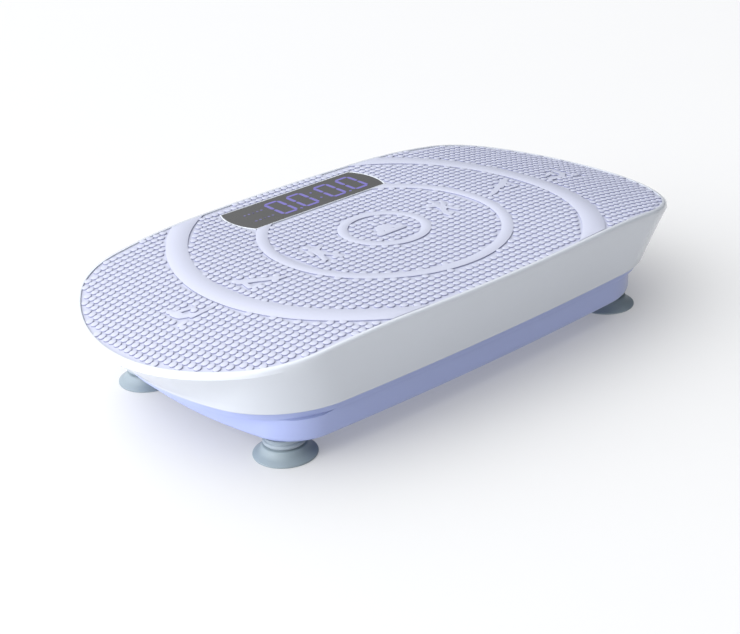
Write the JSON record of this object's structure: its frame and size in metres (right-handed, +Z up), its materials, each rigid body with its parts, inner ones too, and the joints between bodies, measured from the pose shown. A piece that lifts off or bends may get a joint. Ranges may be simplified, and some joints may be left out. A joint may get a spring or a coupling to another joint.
{
  "type": "vibration plate",
  "caption": "Slim oscillating exercise plate: crowned, rounded deck with a dimpled mat and timer window, rocking over a shallow tub on suction feet.",
  "frame": {"origin": "on the floor under the middle of the plate, where the suction cups stand", "axes": "+Z up, +X along the deck, +Y across it towards the display and the power inlet"},
  "size_m": [0.524, 0.284, 0.098],
  "materials": {
    "foot_grey": "satin",
    "cup_rubber": "soft satin",
    "bright_steel": "ground",
    "cast_grey": "painted grey",
    "zinc_steel": "zinc plated",
    "motor_paint": "satin",
    "black_plastic": "fine texture",
    "copper_winding": "varnished winding",
    "cast_aluminium": "cast",
    "black_rubber": "matt",
    "board_green": "solder mask",
    "transformer_tape": "tape",
    "capacitor_sleeve": "shrink sleeve",
    "brass_pin": "bright",
    "rocker_red": "gloss",
    "tub_lavender": "satin gloss",
    "shell_white": "gloss",
    "board_white": "moulded",
    "mat_lavender": "soft matt",
    "smoked_window": "smoked, gloss"
  },
  "bodies": {
    "base": {"base_tub": "tub_lavender", "chassis_plate": "zinc_steel", "foot_neck_1": "foot_grey", "foot_neck_2": "foot_grey", "foot_neck_3": "foot_grey", "foot_neck_4": "foot_grey", "suction_cup_1": "cup_rubber", "suction_cup_2": "cup_rubber", "suction_cup_3": "cup_rubber", "suction_cup_4": "cup_rubber", "pivot_post_near": "cast_grey", "pivot_post_far": "cast_grey", "pivot_bearing_near": "bright_steel", "pivot_bearing_far": "bright_steel", "crank_block_near": "cast_grey", "crank_block_far": "cast_grey", "crank_bearing_near": "bright_steel", "crank_bearing_far": "bright_steel", "motor_cradle": "black_plastic", "motor_strap": "zinc_steel", "motor_can": "motor_paint", "motor_front_cap": "black_plastic", "motor_rear_cap": "black_plastic", "drive_belt": "black_rubber", "stop_posts": "cast_grey", "stop_pads": "black_rubber", "control_board": "board_green", "transformer": "transformer_tape", "capacitor": "capacitor_sleeve", "heat_sink": "cast_aluminium", "power_inlet": "black_plastic", "inlet_pins": "brass_pin", "switch_housing": "black_plastic", "base_bolts": "bright_steel"},
    "rotor": {"motor_shaft": "bright_steel", "motor_armature": "copper_winding", "motor_pulley": "cast_aluminium"},
    "crank": {"crank_shaft": "bright_steel", "crank_pulley": "cast_aluminium"},
    "rod": {"connecting_rod": "cast_aluminium", "rod_bearing": "bright_steel"},
    "deck": {"deck_frame": "zinc_steel", "pivot_shaft": "bright_steel", "rod_pin": "bright_steel", "rod_bush": "black_rubber", "frame_screws": "bright_steel", "deck_board": "board_white", "deck_shell": "shell_white", "deck_mat": "mat_lavender", "display_tray": "shell_white", "display_window": "smoked_window", "display_board": "board_green", "digit_module": "black_plastic", "ir_receiver": "black_plastic"},
    "rocker": {"switch_rocker": "rocker_red"}
  },
  "joints": [
    {"name": "deck_rock", "type": "hinge", "parent": "base", "child": "deck", "pos_m": [0, 0, 0.06], "axis": [0, 1, 0], "range_deg": [-1.5, 1.5], "stiffness_Nm_per_rad": 400, "deforming": ["rod_bush"]},
    {"name": "crank_spin", "type": "hinge", "parent": "base", "child": "crank", "pos_m": [0.075, 0, 0.0485], "axis": [0, 1, 0], "continuous": true},
    {"name": "motor_spin", "type": "hinge", "parent": "base", "child": "rotor", "pos_m": [-0.095, 0, 0.049], "axis": [0, 1, 0], "continuous": true},
    {"name": "rod_swing", "type": "hinge", "parent": "crank", "child": "rod", "pos_m": [0.077, 0, 0.0485], "axis": [0, 1, 0], "continuous": true},
    {"name": "switch_rock", "type": "hinge", "parent": "base", "child": "rocker", "pos_m": [0.106, 0.1166, 0.0305], "axis": [0, 0, 1], "range_deg": [0, 16]}
  ],
  "couplings": [
    {"joint": "motor_spin", "follows": "crank_spin", "ratio": 2},
    {"joint": "rod_swing", "follows": "crank_spin", "ratio": -1}
  ]
}
